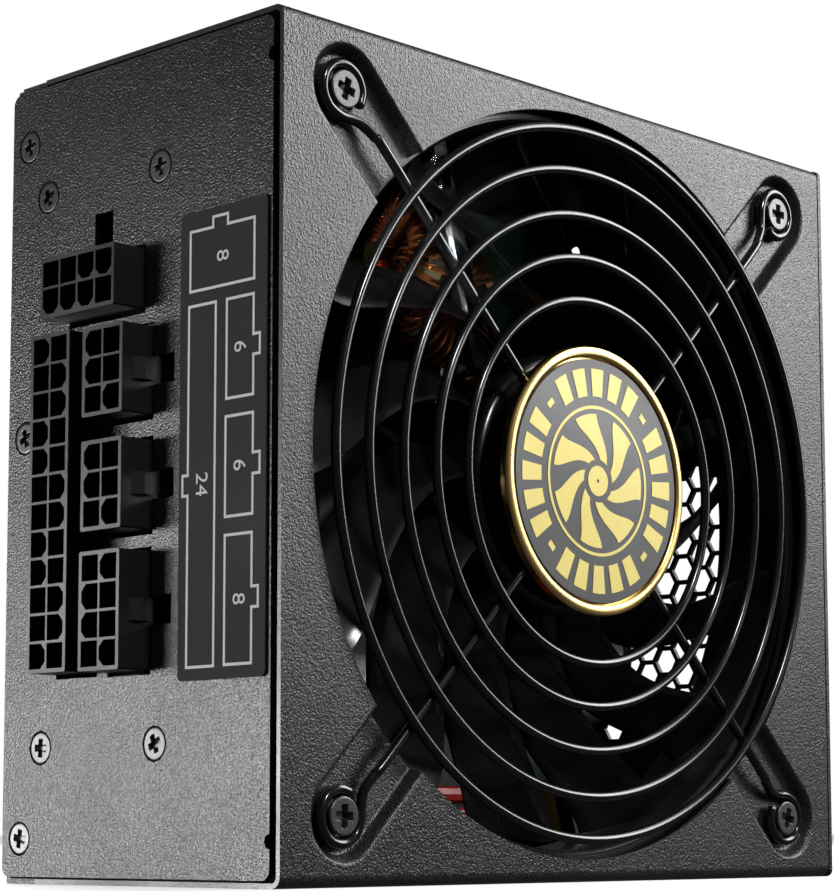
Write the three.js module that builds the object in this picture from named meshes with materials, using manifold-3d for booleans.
// Modular SFX-L power supply unit, standing on its long narrow side.
// Millimetres. X is the depth (sockets at -X, mains side at +X), Y is the thickness (fan at -Y),
// Z is up. The origin is the centre of the side that the unit stands on.
import * as THREE from "three";
import { mergeVertices } from "three/addons/utils/BufferGeometryUtils.js";
import Module from "manifold-3d";

const wasm = await Module();
wasm.setup();

// ---- case ----
const DEPTH = 130;
const THICK = 63.5;
const HEIGHT = 125;
const LEFT = -DEPTH / 2;
const RIGHT = DEPTH / 2;
const FRONT = -THICK / 2;
const BACK = THICK / 2;
const SHEET = 0.8;
const GAP = 0.3;
const OVERLAP = 0.1;
const BEND = 1.7;
const MAINS_IN = RIGHT - SHEET;
const PANEL_THICK = 1;
const PANEL_OUT = LEFT;
const PANEL_IN = PANEL_OUT + PANEL_THICK;
const PANEL_FRONT = -29.6;
const PANEL_REAR = 31.3;
const PANEL_EDGE_Z = SHEET + GAP;
const PANEL_CORNER = 1.6;
const COVER_END = MAINS_IN - GAP;
const COVER_SIDE_Y = 23.1;
const FLANGE_Y = COVER_SIDE_Y + GAP;
const FLANGE_TIP_Y = 29.6;
const TAB_X = PANEL_IN + GAP;
const TAB_HALF = [3.4, 4];
const TAB_HOLE_R = 1.7;
const LIP = { y: [-22, 18], long: 6 };
const NICKS = { r: 1.1, z: [6.5, 118] };

// ---- fan side ----
const FAN_Z = 62.5;
const OPENING_R = 59.1;
const SCREW_PITCH = 105;
const CORNER_REACH = SCREW_PITCH / Math.SQRT2;
const POCKET_R = 6.6;
const POCKET_DEEP = 2.1;
const POCKET_SLOPE = 1.3;
const WIRE_R = 0.78;
const RINGS = [55.97, 49.37, 42.25, 35.37, 28.65];
const RING_Y = -33.2;
const SPOKE_Y = -31.82;
const LOOP_Y = FRONT + POCKET_DEEP - GAP - WIRE_R;
const LOOP_R = 3.9;
const LOOP_START = 127;
const LOOP_SWEEP = 292;
const LOOP_POINTS = 9;
const HIDDEN_RING_R = 14;
const BEND_FROM = 62.5;
const HEAD_R = 2.85;
const HEAD_RISE = 0.85;
const SHANK_R = 1.9;
const SHANK_HOLE_R = 2.3;
const SCREW_LONG = 11;
const BADGE_R = 21.3;
const BADGE_FACE_R = 19.6;
const BADGE_FRONT = -34.5;
const BADGE_BACK = -32.9;
const BADGE_DISH = 0.9;

// ---- fan ----
const FAN_FRONT = -28.5;
const FAN_BACK = -13.5;
const FAN_HALF = 60;
const FAN_BORE = 57.6;
const FAN_WALL = 59.4;
const FLANGE_THICK = 2.4;
const HUB_R = 21;
const HUB_FRONT = -27.9;
const HUB_BACK = -16.7;
const HUB_WALL = 1.6;
const BEARING_R = 4.2;
const STATOR_R = 14.8;
const STATOR_Y = [-24.3, -15.6];
const STATOR_CORE_R = 7.4;
const POLES = 4;
const POLE_HALF = 5;
const STRUT = { half: 2, thick: 2.4, turn: 28 };
const BLADES = 13;
const BLADE_TIP = 56.4;
const BLADE_START = 15.5;
const BLADE_SWEEP = 30;
const BLADE_WIDTH = [16, 12];
const BLADE_LEAN = [8.6, 7.4];
const BLADE_THICK = [1.5, 0.9];
const BLADE_BOW = 1.2;
const BLADE_INSET = 1.2;
const SHAFT_R = 1.5;

// ---- connector side ----
const SOCKET_FRONT = PANEL_OUT - 5.8;
const BOARD_FRONT = -58;
const PITCH = 4.2;
const CAVITY = 3.8;
const KEY_CUT = 1.05;
const CAVITY_DEEP = 7;
const LATCH_WIDE = 4.3;
const PCIE_LATCH_SHIFT = 0.9;
const SCREW_HEAD_R = 2.35;
const STANDOFF_R = 2.9;
const STANDOFF_HOLE_R = 1.65;
const MODULAR_BOARD = { y: [-9, 24], z: [15, 112] };
const LABEL = { y: [-28.9, -10.3], z: [29.3, 97.6], thick: 0.2 };
const LABEL_X = PANEL_OUT - 0.25;
const BRACKET_SPOTS = [[22.1, 106.1], [22.1, 20.55], [-4.8, 106.1], [-4.8, 20.55]];
const SHELL_SCREWS = [[27.05, 115], [27.05, 68.7], [27.05, 6.84]];

// ---- mains side ----
const INLET = { y: 13.6, z: 96, half: [11.2, 15.3], body: [9.9, 13.6], mouth: [7.9, 11.9] };
const SWITCH = { y: -6.6, z: 96, bezel: [7.5, 11], body: [6.5, 10.1], well: [5.8, 9.4] };
const KEYED_CORNER = 4;
const BEZEL_OUT = RIGHT + 1.9;
const BEZEL_IN = RIGHT + GAP;
const INLET_BACK = 46.5;
const INLET_FLOOR = 50;
const SWITCH_BACK = 53;
const SWITCH_FLOOR = 56;
const PIN_BACK = 43.5;
const PIN_HALF = [2, 1];
const PIN_TIP = 61.8;
const ROCKER_PIVOT_X = 62.4;
const ROCKER_TILT = 11;
const MOUNT_Y = 25.75;
const MOUNT_Z = 56.5;
const MOUNT_R = 1.65;
const VENT_ACROSS = 4;
const VENT_PITCH_Y = 4.157;
const VENT_PITCH_Z = 4.8;
const VENT_COLUMNS = 9;
const VENT_ROWS = 10;
const VENT_LOW_Z = 27;

// ---- inside ----
const BOARD_Y = 24.5;
const BOARD_THICK = 1.6;
const SEAT_Y = BOARD_Y - GAP;
const TALLEST_Y = -9;
const OUTPUT_CHOKE = [-1, 8, 106];
const INPUT_CHOKE = [20, 18.9, 103];
const CHOKE_R = 8;
const TRANSFORMER = { x: [-24, 2], y: [-6, 23.9], z: [52, 78], limb: 5 };
const OUTPUT_CAPACITORS = [[-44, 30], [-44, 44], [-44, 58]];
const MAIN_BOARD = { x: [-52, 60], z: [4, 121] };
const INSULATION = { y: [27.2, 27.6], z: [3, 122] };
const RECTIFIER = { x: [46, 50], y: 3, z: [56, 74] };
const FILTER = { x: [42, 58], y: 9, z: [8, 17] };
const FINS = 6;
const FIN_PITCH = 4.2;
const FIN_THICK = 1.3;
const FIN_LONG = 4;
const FAN_CABLE = [[-34, -12.9, 117.5], [-35, -6, 118.5], [-36, 8, 118], [-36, 23.9, 116]];
const LINE_WIRE = [[43.2, 11.4, 103], [40, 11.6, 103.6], [37, 16, 107], [37, 23.9, 109]];
const NEUTRAL_WIRE = [[43.2, 11.4, 89], [40, 11.6, 88.8], [37, 16, 88.6], [37, 23.9, 89]];

// ---------------------------------------------------------------- tools

const X = new THREE.Vector3(1, 0, 0);
const Y = new THREE.Vector3(0, 1, 0);
const Z = new THREE.Vector3(0, 0, 1);
const vec = (x, y, z) => new THREE.Vector3(x, y, z);
const { degToRad: radians, lerp } = THREE.MathUtils;

function solid(geometry) {
  const bare = geometry.clone();
  for (const extra of ["normal", "uv"]) bare.deleteAttribute(extra);
  const merged = mergeVertices(bare, 1e-4);
  const index = Array.from(merged.index.array);
  const kept = [];
  for (let i = 0; i < index.length; i += 3) {
    const [a, b, c] = index.slice(i, i + 3);
    if (a !== b && b !== c && a !== c) kept.push(a, b, c);
  }
  const closed = (triangles) => new wasm.Manifold(new wasm.Mesh({
    numProp: 3,
    vertProperties: new Float32Array(merged.attributes.position.array),
    triVerts: new Uint32Array(triangles),
  }));
  const body = closed(kept);
  return body.volume() > 0 ? body : closed(kept.reverse());
}

const join = (...bodies) => bodies.flat().reduce((whole, next) => whole.add(next));
const cut = (body, ...tools) => tools.flat().reduce((rest, tool) => rest.subtract(tool), body);

function rectangle(u0, u1, v0, v1, r = 0) {
  const shape = new THREE.Shape();
  if (r === 0) {
    shape.moveTo(u0, v0).lineTo(u1, v0).lineTo(u1, v1).lineTo(u0, v1);
    return shape;
  }
  shape.absarc(u1 - r, v0 + r, r, -Math.PI / 2, 0);
  shape.absarc(u1 - r, v1 - r, r, 0, Math.PI / 2);
  shape.absarc(u0 + r, v1 - r, r, Math.PI / 2, Math.PI);
  shape.absarc(u0 + r, v0 + r, r, Math.PI, 1.5 * Math.PI);
  return shape;
}

// A rectangle round (u, v) from its half sizes.
const around = (u, v, [h, k], r = 0) => rectangle(u - h, u + h, v - k, v + k, r);
const grown = (halves, by) => halves.map((half) => half + by);

function polygon(points) {
  return new THREE.Shape(points.map(([u, v]) => new THREE.Vector2(u, v)));
}

function regular(u, v, r, sides) {
  const angles = Array.from({ length: sides }, (_, i) => (i / sides) * 2 * Math.PI);
  return polygon(angles.map((a) => [u + r * Math.cos(a), v + r * Math.sin(a)]));
}

// Outline in the two axes that follow "axis" in X, Y, Z order (X and Z for a slab along Y).
function slab(outline, axis, from, to, bevel = 0) {
  const geometry = new THREE.ExtrudeGeometry(outline, {
    depth: to - from - 2 * bevel,
    bevelEnabled: bevel > 0,
    bevelThickness: bevel,
    bevelSize: bevel,
    bevelOffset: -bevel,
    bevelSegments: 1,
    curveSegments: 4,
  });
  const place = new THREE.Matrix4();
  if (axis === "x") place.makeBasis(Y, Z, X).setPosition(from + bevel, 0, 0);
  if (axis === "y") place.makeBasis(X, Z, Y.clone().negate()).setPosition(0, to - bevel, 0);
  if (axis === "z") place.setPosition(0, 0, from + bevel);
  geometry.applyMatrix4(place);
  return solid(geometry);
}

function block(x0, x1, y0, y1, z0, z1) {
  const geometry = new THREE.BoxGeometry(x1 - x0, y1 - y0, z1 - z0);
  geometry.translate((x0 + x1) / 2, (y0 + y1) / 2, (z0 + z1) / 2);
  return solid(geometry);
}

function rod(axis, from, to, u, v, r, sides = 16) {
  return slab(regular(u, v, r, sides), axis, from, to);
}

function ring(u, y0, y1, v, outer, inner, sides) {
  const outline = regular(u, v, outer, sides);
  outline.holes.push(regular(u, v, inner, sides));
  return slab(outline, "y", y0, y1);
}

function wire(points, r, steps, sides = 6) {
  const path = new THREE.CatmullRomCurve3(points, false, "centripetal");
  return solid(new THREE.ExtrudeGeometry(regular(0, 0, r, sides), {
    steps,
    extrudePath: path,
    bevelEnabled: false,
  }));
}

function torus(centre, axis, radius, tube, around, along) {
  const geometry = new THREE.TorusGeometry(radius, tube, around, along);
  geometry.applyQuaternion(new THREE.Quaternion().setFromUnitVectors(Z, axis));
  geometry.translate(centre.x, centre.y, centre.z);
  return solid(geometry);
}

function turned(profile, sides, matrix) {
  const points = profile.map(([r, h]) => new THREE.Vector2(r, h));
  const geometry = new THREE.LatheGeometry(points, sides);
  geometry.applyMatrix4(matrix);
  return solid(geometry);
}

const FINISHES = {
  powder: [0x2b2b2c, 0.3, 0.7],
  wire: [0x101011, 0.6, 0.25],
  nylon: [0x0d0d0e, 0, 0.6],
  gold: [0xd9b45a, 0.8, 0.35],
  label: [0x4a4a4d, 0, 0.6],
  screw: [0x3a3a3c, 0.7, 0.4],
  board: [0x1f4d2c, 0, 0.6],
  steel: [0xa8a8ac, 0.9, 0.35],
  aluminium: [0xb9bbbf, 0.8, 0.45],
  copper: [0xb9683a, 0.8, 0.35],
  ferrite: [0x3c3d40, 0, 0.7],
  sheet: [0xd8d5c8, 0, 0.7],
  red: [0xa01c1c, 0, 0.5],
  yellow: [0xd9c24a, 0, 0.5],
};

const unit = new THREE.Group();
unit.name = "power_supply_unit";

function piece(name, body, finish) {
  const mesh = body.getMesh();
  const geometry = new THREE.BufferGeometry();
  geometry.setAttribute("position", new THREE.BufferAttribute(new Float32Array(mesh.vertProperties), 3));
  geometry.setIndex(Array.from(mesh.triVerts));
  geometry.computeVertexNormals();
  const [color, metalness, roughness] = FINISHES[finish];
  const made = new THREE.Mesh(geometry, new THREE.MeshStandardMaterial({ color, metalness, roughness }));
  made.name = name;
  unit.add(made);
}

// ---------------------------------------------------------------- case

function hexGrid() {
  const holes = [];
  for (let column = 0; column < VENT_COLUMNS; column += 1) {
    for (let row = 0; row < VENT_ROWS; row += 1) {
      const y = (column - (VENT_COLUMNS - 1) / 2) * VENT_PITCH_Y;
      const z = VENT_LOW_Z + (row + (column % 2) / 2) * VENT_PITCH_Z;
      holes.push(regular(y, z, VENT_ACROSS / Math.sqrt(3), 6));
    }
  }
  return holes;
}

function mainsPanel() {
  const face = rectangle(FRONT, BACK, 0, HEIGHT, 1.2);
  face.holes.push(...hexGrid());
  for (const y of [-MOUNT_Y, MOUNT_Y]) {
    for (const dz of [-MOUNT_Z, MOUNT_Z]) face.holes.push(regular(y, FAN_Z + dz, MOUNT_R, 12));
  }
  for (const fitting of [INLET, SWITCH]) {
    face.holes.push(around(fitting.y, fitting.z, grown(fitting.body, GAP)));
  }
  return slab(face, "x", MAINS_IN, RIGHT);
}

function baseShell() {
  const wall = block(TAB_X, MAINS_IN + OVERLAP, BACK - SHEET, BACK, 0, HEIGHT);
  const flanges = [0, HEIGHT - SHEET].flatMap((z) => [
    block(TAB_X, MAINS_IN + OVERLAP, FLANGE_Y, BACK, z, z + SHEET),
    block(LEFT + 0.5, TAB_X + 1, FLANGE_Y, FLANGE_TIP_Y, z, z + SHEET),
  ]);
  const tabs = SHELL_SCREWS.map(([y, z]) => cut(
    block(TAB_X, TAB_X + SHEET, y - TAB_HALF[0], BACK - OVERLAP, z - TAB_HALF[1], z + TAB_HALF[1]),
    rod("x", TAB_X - 1, TAB_X + 2, y, z, TAB_HOLE_R, 12),
  ));
  return join(mainsPanel(), wall, flanges, tabs);
}

const SOCKETS = [
  { name: "socket_24pin", y: 13.55, z: 57, keys: ["LRRLLRRLLRRL"], latch: "+y", notch: [18.4, 25.9] },
  { name: "socket_peripheral_1", y: 1.05, z: 75.5, keys: ["LLR"], latch: "-y", notch: [-8.5, -3.3] },
  { name: "socket_peripheral_2", y: 1.05, z: 58.5, keys: ["LLR"], latch: "-y", notch: [-8.5, -3.3] },
  { name: "socket_cpu", y: 1.2, z: 40, keys: ["RLLR"], latch: "-y", notch: [-8.3, -3.3] },
  { name: "socket_pcie", y: 7.35, z: 89.65, keys: ["SSDD", "DDDS"], latch: "+z", notch: [94.3, 101.3] },
];

function socketHalf({ keys }) {
  if (keys.length === 2) return [2 * PITCH + 0.35, PITCH + 0.45];
  return [PITCH + 0.45, (keys[0].length * PITCH) / 2 + 0.4];
}

function latchSlot(socket) {
  const [from, to] = socket.notch;
  const half = LATCH_WIDE / 2;
  if (socket.latch === "+z") {
    const middle = socket.y + PCIE_LATCH_SHIFT;
    return rectangle(middle - half, middle + half, from - 1, to);
  }
  const low = socket.latch === "-y" ? from : from - 1;
  const high = socket.latch === "-y" ? to + 1 : to;
  return rectangle(low, high, socket.z - half, socket.z + half);
}

function panelHoles() {
  return SOCKETS.flatMap((socket) => {
    const [h, v] = socketHalf(socket);
    const window = rectangle(
      socket.y - h - GAP, socket.y + h + GAP, socket.z - v - 0.6, socket.z + v + 0.6);
    const outlines = [window, latchSlot(socket)];
    return outlines.map((outline) => slab(outline, "x", PANEL_OUT - 1, PANEL_IN + 1));
  });
}

const PANEL_SCREWS = [...SHELL_SCREWS, ...BRACKET_SPOTS];

const TURN_TO_X = new THREE.Matrix4().makeBasis(Z, X, Y);

function alongX(x, y, z) {
  return new THREE.Matrix4().makeTranslation(x, y, z).multiply(TURN_TO_X);
}

function countersink([y, z]) {
  const profile = [[0, -0.1], [SCREW_HEAD_R + 0.45, -0.1], [1.8, 0.95], [1.8, 1.1], [0, 1.1]];
  return turned(profile, 12, alongX(PANEL_OUT, y, z));
}

function connectorPanel() {
  const face = rectangle(PANEL_FRONT, PANEL_REAR, PANEL_EDGE_Z, HEIGHT - PANEL_EDGE_Z, PANEL_CORNER);
  const nicks = NICKS.z.map((z) => (
    rod("x", PANEL_OUT - 1, PANEL_IN + 1, PANEL_FRONT, z, NICKS.r, 10)));
  const lips = [PANEL_EDGE_Z, HEIGHT - PANEL_EDGE_Z - SHEET].map((z) => (
    block(PANEL_OUT + 0.2, PANEL_IN + LIP.long, ...LIP.y, z, z + SHEET)));
  const panel = slab(face, "x", PANEL_OUT, PANEL_IN);
  return cut(join(panel, lips), nicks, panelHoles(), PANEL_SCREWS.map(countersink));
}

function phillips(depth, size) {
  const arms = [[size, size / 3.4], [size / 3.4, size]];
  return arms.map(([a, b]) => solid(new THREE.BoxGeometry(a, b, depth)));
}

function panelScrew([y, z]) {
  const profile = [[0, 0], [SCREW_HEAD_R, 0], [1.35, 0.85], [1.35, 4.6], [0, 4.6]];
  const recess = phillips(1, 2.7).map((arm) => arm.rotate([0, 90, 0]).translate([PANEL_OUT, y, z]));
  return cut(turned(profile, 14, alongX(PANEL_OUT, y, z)), recess);
}

function pocketShape(r) {
  const shape = new THREE.Shape();
  shape.absarc(0, 0, r, Math.PI / 2, 1.5 * Math.PI);
  shape.lineTo(24, -r).lineTo(24, r);
  return shape;
}

// One embossed channel, from a corner screw inward: wide at the face, narrower at its floor.
function pocket(corner, r, deep) {
  const geometry = new THREE.ExtrudeGeometry(pocketShape(r - POCKET_SLOPE), {
    depth: 1,
    bevelThickness: deep,
    bevelSize: POCKET_SLOPE,
    bevelSegments: 1,
    curveSegments: 7,
  });
  const inward = corner + Math.PI;
  const along = vec(Math.cos(inward), 0, Math.sin(inward));
  const across = new THREE.Vector3().crossVectors(Y, along);
  const place = new THREE.Matrix4().makeBasis(along, across, Y);
  const [x, z] = fanScrewSpot(corner);
  place.setPosition(x, FRONT - 1, z);
  geometry.applyMatrix4(place);
  return solid(geometry);
}

const CORNERS = [0, 1, 2, 3].map((i) => Math.PI / 4 + (i * Math.PI) / 2);
const fanScrewSpot = (corner) => (
  [CORNER_REACH * Math.cos(corner), FAN_Z + CORNER_REACH * Math.sin(corner)]);

function cover() {
  const outer = new THREE.Shape();
  outer.moveTo(COVER_SIDE_Y, 0).lineTo(COVER_SIDE_Y, SHEET).lineTo(FRONT + BEND, SHEET);
  outer.absarc(FRONT + BEND, BEND, BEND - SHEET, 1.5 * Math.PI, Math.PI, true);
  outer.absarc(FRONT + BEND, HEIGHT - BEND, BEND - SHEET, Math.PI, Math.PI / 2, true);
  outer.lineTo(COVER_SIDE_Y, HEIGHT - SHEET).lineTo(COVER_SIDE_Y, HEIGHT);
  outer.absarc(FRONT + BEND, HEIGHT - BEND, BEND, Math.PI / 2, Math.PI);
  outer.absarc(FRONT + BEND, BEND, BEND, Math.PI, 1.5 * Math.PI);
  const bent = slab(outer, "x", LEFT, COVER_END);
  const pans = CORNERS.map((corner) => cut(
    pocket(corner, POCKET_R + SHEET, POCKET_DEEP + SHEET),
    block(LEFT - 9, RIGHT + 9, FRONT - 9, FRONT + 0.1, -9, HEIGHT + 9),
  ));
  const dishes = CORNERS.map((corner) => pocket(corner, POCKET_R, POCKET_DEEP));
  const holes = CORNERS.map((corner) => (
    rod("y", FRONT - 2, FRONT + 6, ...fanScrewSpot(corner), SHANK_HOLE_R, 12)));
  const opening = rod("y", FRONT - 3, FRONT + 6, 0, FAN_Z, OPENING_R, 72);
  return cut(join(bent, pans), dishes, opening, holes);
}

// ---------------------------------------------------------------- fan side

// A straight wire out to the pocket, then a bend aside and a loop round the corner screw.
function guardSpoke(corner) {
  const straight = [[HIDDEN_RING_R, 0, SPOKE_Y], [BEND_FROM + 0.5, 0, SPOKE_Y]];
  const drop = LOOP_Y - SPOKE_Y;
  const bend = [
    [BEND_FROM, 0, SPOKE_Y], [BEND_FROM + 3.4, 0.05, SPOKE_Y + 0.4 * drop],
    [BEND_FROM + 6, 0.5, SPOKE_Y + 0.85 * drop], [BEND_FROM + 7.8, 1.75, LOOP_Y],
  ];
  const loop = Array.from({ length: LOOP_POINTS }, (_, i) => {
    const angle = radians(LOOP_START - (i * LOOP_SWEEP) / (LOOP_POINTS - 1));
    return [CORNER_REACH + LOOP_R * Math.cos(angle), LOOP_R * Math.sin(angle), LOOP_Y];
  });
  const out = vec(Math.cos(corner), 0, Math.sin(corner));
  const left = vec(-Math.sin(corner), 0, Math.cos(corner));
  const place = ([along, aside, y]) => (
    vec(0, y, FAN_Z).addScaledVector(out, along).addScaledVector(left, aside));
  return join(wire(straight.map(place), WIRE_R, 1), wire([...bend, ...loop].map(place), WIRE_R, 24));
}

function fanGuard() {
  const middle = (y) => vec(0, y, FAN_Z);
  const rings = RINGS.map((r) => torus(middle(RING_Y), Y, r, WIRE_R, 6, r > 40 ? 26 : 20));
  const hidden = torus(middle(SPOKE_Y), Y, HIDDEN_RING_R, WIRE_R, 6, 12);
  return join(rings, hidden, CORNERS.map(guardSpoke));
}

const alongY = (x, y, z) => new THREE.Matrix4().makeTranslation(x, y, z);

// The countersunk head sits inside the wire loop and wedges it against the pocket's floor.
function guardScrew(corner) {
  const [x, z] = fanScrewSpot(corner);
  const top = LOOP_Y - HEAD_RISE;
  const cone = HEAD_R - SHANK_R;
  const profile = [
    [0, 0], [HEAD_R, 0], [HEAD_R, 0.35], [SHANK_R, 0.35 + cone], [SHANK_R, SCREW_LONG], [0, SCREW_LONG],
  ];
  const recess = phillips(1.4, 3.3).map((arm) => arm.rotate([90, 0, 0]).translate([x, top, z]));
  return cut(turned(profile, 14, alongY(x, top, z)), recess);
}

function guardBadge() {
  const rim = BADGE_BACK - BADGE_FRONT;
  const profile = [[0, BADGE_DISH], [BADGE_FACE_R, BADGE_DISH], [BADGE_FACE_R, 0.25],
    [BADGE_FACE_R + 0.4, 0], [BADGE_R - 0.4, 0], [BADGE_R, 0.4], [BADGE_R, rim], [0, rim]];
  return turned(profile, 36, alongY(0, BADGE_FRONT, FAN_Z));
}

function badgeInsert() {
  return rod("y", BADGE_FRONT + 0.3, BADGE_FRONT + BADGE_DISH - GAP, 0, FAN_Z, BADGE_FACE_R - GAP, 36);
}

function fanFrame() {
  const flange = (y0, y1) => {
    const outline = rectangle(-FAN_HALF, FAN_HALF, FAN_Z - FAN_HALF, FAN_Z + FAN_HALF, 6);
    outline.holes.push(regular(0, FAN_Z, FAN_BORE, 32));
    return slab(outline, "y", y0, y1);
  };
  const wall = ring(0, FAN_FRONT, FAN_BACK, FAN_Z, FAN_WALL, FAN_BORE, 32);
  const holder = ring(0, FAN_BACK - 1.8, FAN_BACK, FAN_Z, HUB_R, SHAFT_R + GAP, 24);
  const bearing = ring(0, HUB_FRONT + 3, FAN_BACK, FAN_Z, BEARING_R, SHAFT_R + GAP, 16);
  const struts = CORNERS.map((corner) => (
    block(HUB_R - 1, FAN_BORE + 1, FAN_BACK - STRUT.thick, FAN_BACK, -STRUT.half, STRUT.half)
      .rotate([0, STRUT.turn - THREE.MathUtils.radToDeg(corner), 0]).translate([0, 0, FAN_Z])));
  const holes = CORNERS.map((corner) => (
    rod("y", FAN_FRONT - 1, FAN_BACK + 1, ...fanScrewSpot(corner), SHANK_HOLE_R, 12)));
  const ends = [FAN_FRONT, FAN_BACK - FLANGE_THICK].map((y) => flange(y, y + FLANGE_THICK));
  return cut(join(wall, ends, holder, bearing, struts), holes);
}

function fanStator() {
  const hole = ring(0, HUB_FRONT, FAN_BACK, FAN_Z, STATOR_R + 9, STATOR_R, 24);
  const tube = rod("y", HUB_FRONT, FAN_BACK, 0, FAN_Z, BEARING_R + GAP, 16);
  const core = ring(0, ...STATOR_Y, FAN_Z, STATOR_CORE_R, BEARING_R + GAP, 24);
  const arms = Array.from({ length: POLES }, (_, i) => (
    block(BEARING_R + 0.8, STATOR_R + 2, ...STATOR_Y, -POLE_HALF, POLE_HALF)
      .rotate([0, (i * 360) / POLES, 0]).translate([0, 0, FAN_Z])));
  return cut(join(core, arms), hole, tube);
}

// A swept blade, from the hub (span 0) to its tip and from its leading edge (chord 0) backward.
function fanBlade(index) {
  const geometry = new THREE.BoxGeometry(1, 1, 1, 4, 2, 1);
  const spots = geometry.attributes.position;
  const start = radians(BLADE_START + (index * 360) / BLADES);
  for (let i = 0; i < spots.count; i += 1) {
    const span = spots.getX(i) + 0.5;
    const chord = spots.getY(i) + 0.5;
    const side = spots.getZ(i) * lerp(...BLADE_THICK, span);
    const r = lerp(HUB_R - HUB_WALL / 2, BLADE_TIP, span);
    const sweep = radians(BLADE_SWEEP) * THREE.MathUtils.smoothstep(span, 0, 1);
    const angle = start + sweep - chord * radians(lerp(...BLADE_WIDTH, span));
    const lean = chord * lerp(...BLADE_LEAN, span) + BLADE_BOW * chord * (1 - chord);
    const y = HUB_FRONT + BLADE_INSET + lean + side;
    spots.setXYZ(i, r * Math.cos(angle), y, FAN_Z + r * Math.sin(angle));
  }
  return solid(geometry);
}

function fanRotor() {
  const rim = HUB_BACK - HUB_FRONT;
  const inner = HUB_R - HUB_WALL;
  const face = 1.8;
  const profile = [
    [0, 0], [inner, 0], [HUB_R, HUB_WALL], [HUB_R, rim], [inner, rim], [inner, face], [0, face],
  ];
  const hub = turned(profile, 26, alongY(0, HUB_FRONT, FAN_Z));
  return join(hub, Array.from({ length: BLADES }, (_, i) => fanBlade(i)));
}

function fanMagnet() {
  const outer = HUB_R - HUB_WALL - GAP;
  return ring(0, HUB_FRONT + 2.1, HUB_BACK - 0.6, FAN_Z, outer, STATOR_R + 0.6, 26);
}

// ---------------------------------------------------------------- sockets

function cavity(y, z, key, latch) {
  const h = CAVITY / 2;
  const c = key ? KEY_CUT : 0;
  const outline = [];
  const corners = { "+y": [1, 1, 0, 0], "-y": [0, 0, 1, 1], "+z": [1, 0, 0, 1] }[latch];
  const spots = [[-1, -1], [-1, 1], [1, 1], [1, -1]];
  spots.forEach(([u, v], i) => {
    if (!corners[i] || c === 0) {
      outline.push([y + u * h, z + v * h]);
      return;
    }
    const onSide = [y + u * h, z + v * (h - c)];
    const onEnd = [y + u * (h - c), z + v * h];
    outline.push(...(i % 2 === 0 ? [onEnd, onSide] : [onSide, onEnd]));
  });
  return slab(polygon(outline), "x", SOCKET_FRONT - 1, SOCKET_FRONT + CAVITY_DEEP);
}

function cavitySpots({ y, z, keys }) {
  if (keys.length === 2) {
    return keys.flatMap((row, r) => [...row].map((mark, c) => ({
      y: y + (1.5 - c) * PITCH, z: z + (0.5 - r) * PITCH, key: mark === "D",
    })));
  }
  const rows = [...keys[0]];
  return rows.flatMap((mark, r) => ["L", "R"].map((column, c) => ({
    y: y + (0.5 - c) * PITCH, z: z + ((rows.length - 1) / 2 - r) * PITCH, key: mark === column,
  })));
}

// The ramp that a plug's latch snaps over.
function latchRamp(socket) {
  const [h, v] = socketHalf(socket);
  const half = LATCH_WIDE / 2 - 0.5;
  const ramp = polygon([
    [PANEL_OUT - 4.6, -0.5], [PANEL_OUT - 2.2, 1.1], [PANEL_OUT - 0.4, 1.1], [PANEL_OUT - 0.4, -0.5],
  ]);
  if (socket.latch === "+z") {
    const middle = socket.y + PCIE_LATCH_SHIFT;
    return slab(ramp, "y", middle - half, middle + half).translate([0, 0, socket.z + v]);
  }
  const wedge = slab(ramp, "z", socket.z - half, socket.z + half);
  if (socket.latch === "+y") return wedge.translate([0, socket.y + h, 0]);
  return wedge.mirror([0, 1, 0]).translate([0, socket.y - h, 0]);
}

function socketHousing(socket) {
  const [h, v] = socketHalf(socket);
  const { y, z } = socket;
  const body = slab(around(y, z, [h, v], 0.35), "x", SOCKET_FRONT, BOARD_FRONT - GAP);
  const cavities = cavitySpots(socket).map((spot) => cavity(spot.y, spot.z, spot.key, socket.latch));
  return cut(join(body, latchRamp(socket)), cavities);
}

function standoff([y, z]) {
  const body = slab(regular(y, z, STANDOFF_R, 6), "x", PANEL_IN + GAP, BOARD_FRONT - GAP);
  return cut(body, rod("x", PANEL_IN - 1, BOARD_FRONT + 1, y, z, STANDOFF_HOLE_R, 12));
}

// ---------------------------------------------------------------- mains side

function acInlet() {
  const { y, z, half, body, mouth } = INLET;
  const flange = slab(around(y, z, half, 1.5), "x", BEZEL_IN, BEZEL_OUT);
  const box = slab(around(y, z, body), "x", INLET_BACK, BEZEL_IN + OVERLAP);
  const [h, v] = mouth;
  const well = slab(polygon([
    [y - h, z - v], [y + h - KEYED_CORNER, z - v], [y + h, z - v + KEYED_CORNER],
    [y + h, z + v - KEYED_CORNER], [y + h - KEYED_CORNER, z + v], [y - h, z + v],
  ]), "x", INLET_FLOOR, BEZEL_OUT + 1);
  const slots = INLET_PINS.map(([pinY, pinZ]) => (
    slab(around(pinY, pinZ, grown(PIN_HALF, GAP)), "x", INLET_BACK - 1, INLET_FLOOR + 1)));
  return cut(join(flange, box), well, slots);
}

const INLET_PINS = [
  [INLET.y - 2.2, INLET.z + 7],
  [INLET.y - 2.2, INLET.z - 7],
  [INLET.y + 2.2, INLET.z],
];

const inletPin = ([y, z]) => slab(around(y, z, PIN_HALF), "x", PIN_BACK, PIN_TIP);

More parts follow.
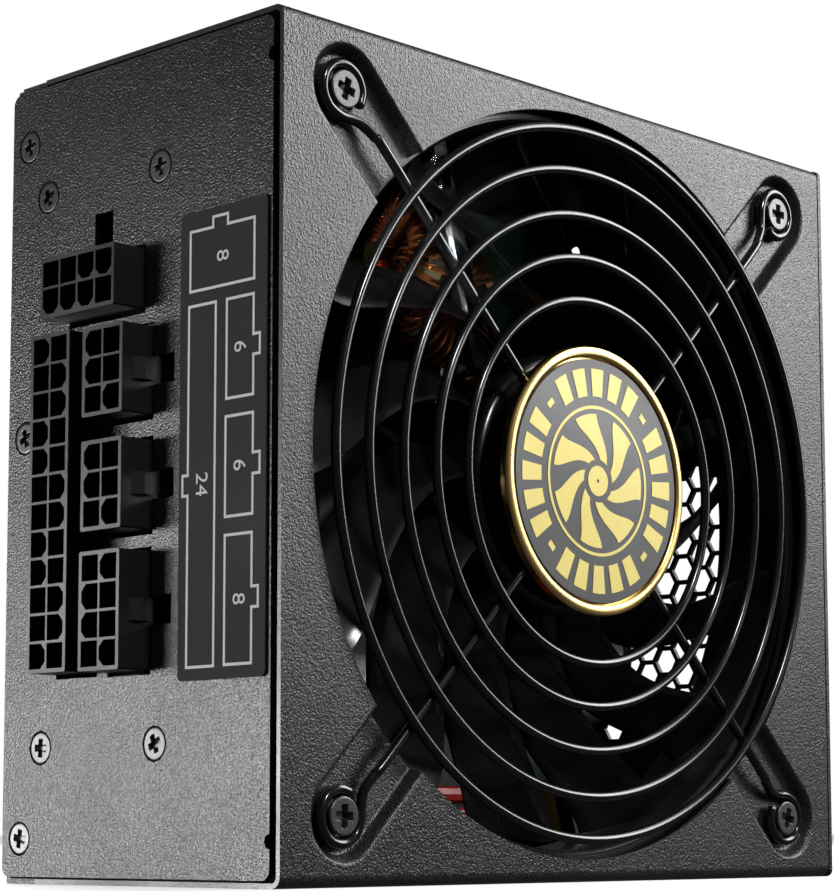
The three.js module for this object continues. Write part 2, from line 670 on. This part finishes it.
function switchHousing() {
  const { y, z, bezel, body, well } = SWITCH;
  const rim = slab(around(y, z, bezel, 1), "x", BEZEL_IN, BEZEL_OUT);
  const box = slab(around(y, z, body), "x", SWITCH_BACK, BEZEL_IN + OVERLAP);
  const space = slab(around(y, z, well), "x", SWITCH_FLOOR, BEZEL_OUT + 1);
  return cut(join(rim, box), space);
}

function switchRocker() {
  const half = SWITCH.well[0] - 0.4;
  const profile = polygon([
    [-3.4, -7.4], [1, -8.3], [5.6, -8.1], [4.2, 0], [5.6, 8.1], [1, 8.3], [-3.4, 7.4],
  ]);
  return slab(profile, "y", -half, half, 0.3).rotate([0, ROCKER_TILT, 0])
    .translate([ROCKER_PIVOT_X, SWITCH.y, SWITCH.z]);
}

// ---------------------------------------------------------------- inside

function modularBoard() {
  const back = BOARD_FRONT + BOARD_THICK;
  const holes = BRACKET_SPOTS.map(([y, z]) => rod("x", BOARD_FRONT - 1, back + 1, y, z, TAB_HOLE_R, 12));
  return cut(block(BOARD_FRONT, back, ...MODULAR_BOARD.y, ...MODULAR_BOARD.z), holes);
}

function heatsink(x0, x1, z0, z1, finsAlong) {
  const plate = block(x0, x1, TALLEST_Y, SEAT_Y, z0, z1);
  const [a, b] = finsAlong === "z" ? [0, FIN_LONG] : [FIN_LONG, 0];
  const fins = Array.from({ length: FINS }, (_, i) => {
    const y = TALLEST_Y + 0.2 + i * FIN_PITCH;
    return block(x0 - a, x1 + a, y, y + FIN_THICK, z0 - b, z1 + b);
  });
  return join(plate, fins);
}

function chokeCore([x, y, z], axis) {
  return torus(vec(x, y, z), axis, CHOKE_R, 3.1, 6, 16);
}

function chokeWinding([x, y, z], axis) {
  const middle = vec(x, y, z);
  const window = axis === X
    ? block(x - 12, x + 12, y + 5, y + 15, z - 2.5, z + 2.5)
    : block(x - 2.5, x + 2.5, y - 12, y + 12, z + 5, z + 15);
  return cut(torus(middle, axis, CHOKE_R, 5, 8, 16), torus(middle, axis, CHOKE_R, 3.7, 6, 16), window);
}

function transformerCore() {
  const { x, y, z, limb } = TRANSFORMER;
  const inside = block(x[0] - 1, x[1] + 1, y[0] + limb, y[1] - limb, z[0] + limb, z[1] - limb);
  return cut(block(...x, ...y, ...z), inside);
}

function transformerWinding() {
  const { x, y, z, limb } = TRANSFORMER;
  const inset = limb + GAP;
  return block(x[0] - 2, x[1] + 2, y[0] + inset, y[1] - inset, z[0] + inset, z[1] - inset);
}

function capacitor(x, z, r, tall) {
  const profile = [[0, 0], [r - 0.8, 0], [r, 0.8], [r, tall], [0, tall]];
  return turned(profile, 14, alongY(x, SEAT_Y - tall, z));
}

const lead = (points, r) => wire(points.map((point) => vec(...point)), r, 10, 8);

function outputWire(z) {
  const onBoard = [[24, 23.9, z], [20, 2, z], [8, -6.5, z]];
  const toSockets = [[-20, -6.5, z], [-44, 0, z + 3], [-55.8, 6, z + 8]];
  return lead([...onBoard, ...toSockets], 1.3);
}

// ---------------------------------------------------------------- the unit

piece("base_shell", baseShell(), "powder");
piece("connector_panel", connectorPanel(), "powder");
piece("cover", cover(), "powder");
piece("fan_guard", fanGuard(), "wire");
piece("guard_badge", guardBadge(), "gold");
piece("badge_insert", badgeInsert(), "label");
piece("connector_label", block(LABEL_X - LABEL.thick, LABEL_X, ...LABEL.y, ...LABEL.z), "label");
CORNERS.forEach((corner, i) => piece(`guard_screw_${i + 1}`, guardScrew(corner), "screw"));
PANEL_SCREWS.forEach((spot, i) => piece(`panel_screw_${i + 1}`, panelScrew(spot), "screw"));
SOCKETS.forEach((socket) => piece(socket.name, socketHousing(socket), "nylon"));
BRACKET_SPOTS.forEach((spot, i) => piece(`board_standoff_${i + 1}`, standoff(spot), "steel"));
piece("modular_board", modularBoard(), "board");
piece("main_board", block(...MAIN_BOARD.x, BOARD_Y, BOARD_Y + BOARD_THICK, ...MAIN_BOARD.z), "board");
piece("insulation_sheet", block(...MAIN_BOARD.x, ...INSULATION.y, ...INSULATION.z), "sheet");

piece("fan_frame", fanFrame(), "nylon");
piece("fan_stator", fanStator(), "copper");
piece("fan_rotor", fanRotor(), "nylon");
piece("fan_magnet", fanMagnet(), "ferrite");
piece("fan_shaft", rod("y", HUB_FRONT + 2.1, FAN_BACK - 0.2, 0, FAN_Z, SHAFT_R, 12), "steel");

piece("ac_inlet", acInlet(), "nylon");
["line", "neutral", "earth"].forEach((use, i) => {
  piece(`inlet_pin_${use}`, inletPin(INLET_PINS[i]), "steel");
});
piece("switch_housing", switchHousing(), "nylon");
piece("switch_rocker", switchRocker(), "nylon");

piece("bulk_capacitor", capacitor(26, 38, 12.5, 34), "ferrite");
piece("transformer_core", transformerCore(), "ferrite");
piece("transformer_winding", transformerWinding(), "yellow");
piece("output_choke_core", chokeCore(OUTPUT_CHOKE, X), "yellow");
piece("output_choke_winding", chokeWinding(OUTPUT_CHOKE, X), "copper");
piece("input_choke_core", chokeCore(INPUT_CHOKE, Y), "ferrite");
piece("input_choke_winding", chokeWinding(INPUT_CHOKE, Y), "copper");
piece("heatsink_primary", heatsink(4, 42, 80, 82, "z"), "aluminium");
piece("heatsink_secondary", heatsink(-32, -30, 24, 72, "x"), "aluminium");
piece("bridge_rectifier", block(...RECTIFIER.x, RECTIFIER.y, SEAT_Y, ...RECTIFIER.z), "nylon");
piece("filter_capacitor", block(...FILTER.x, FILTER.y, SEAT_Y, ...FILTER.z), "yellow");
OUTPUT_CAPACITORS.forEach(([x, z], i) => {
  piece(`output_capacitor_${i + 1}`, capacitor(x, z, 5, 18), "ferrite");
});
piece("fan_cable", lead(FAN_CABLE, 1.3), "nylon");
piece("line_wire", lead(LINE_WIRE, 1), "nylon");
piece("neutral_wire", lead(NEUTRAL_WIRE, 1), "sheet");
[10.5, 14].forEach((z, i) => piece(`output_wire_${i + 1}`, outputWire(z), "red"));

export default unit;
